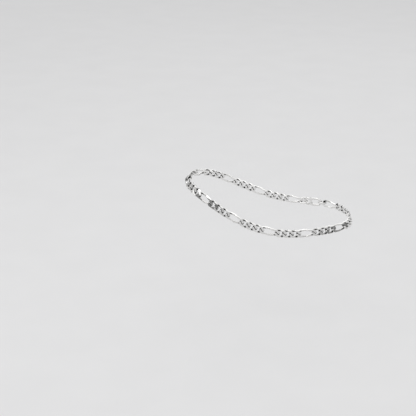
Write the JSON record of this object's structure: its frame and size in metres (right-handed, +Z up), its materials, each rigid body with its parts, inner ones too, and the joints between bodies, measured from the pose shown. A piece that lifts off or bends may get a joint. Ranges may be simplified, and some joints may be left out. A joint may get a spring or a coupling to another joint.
{
  "type": "figaro chain anklet",
  "caption": "Flat figaro chain anklet of polished silver: one long oval link and three short ones in turn, closed by a plain clasp, in the shape it takes round an ankle.",
  "frame": {"origin": "middle of the loop, where the ankle passes through it", "axes": "+Z up the leg, -X towards the toes, +X towards the heel, Y from side to side of the ankle"},
  "size_m": [0.0981, 0.0592, 0.0257],
  "materials": {
    "long_links": "polished silver, pressed flat, with bright bevelled edges",
    "short_links": "polished silver, pressed flat, with bright bevelled edges",
    "fastening": "polished silver"
  },
  "bodies": {
    "root": {"long_link_01": "long_links", "long_link_02": "long_links", "long_link_03": "long_links", "long_link_04": "long_links", "long_link_05": "long_links", "long_link_06": "long_links", "long_link_07": "long_links", "long_link_08": "long_links", "long_link_09": "long_links", "long_link_10": "long_links", "long_link_11": "long_links", "long_link_12": "long_links", "short_link_01": "short_links", "short_link_02": "short_links", "short_link_03": "short_links", "short_link_04": "short_links", "short_link_05": "short_links", "short_link_06": "short_links", "short_link_07": "short_links", "short_link_08": "short_links", "short_link_09": "short_links", "short_link_10": "short_links", "short_link_11": "short_links", "short_link_12": "short_links", "short_link_13": "short_links", "short_link_14": "short_links", "short_link_15": "short_links", "short_link_16": "short_links", "short_link_17": "short_links", "short_link_18": "short_links", "short_link_19": "short_links", "short_link_20": "short_links", "short_link_21": "short_links", "short_link_22": "short_links", "short_link_23": "short_links", "short_link_24": "short_links", "short_link_25": "short_links", "short_link_26": "short_links", "short_link_27": "short_links", "short_link_28": "short_links", "short_link_29": "short_links", "short_link_30": "short_links", "short_link_31": "short_links", "short_link_32": "short_links", "short_link_33": "short_links", "ring_at_eye": "fastening", "clasp": "fastening", "ring_at_claw": "fastening"}
  },
  "joints": []
}
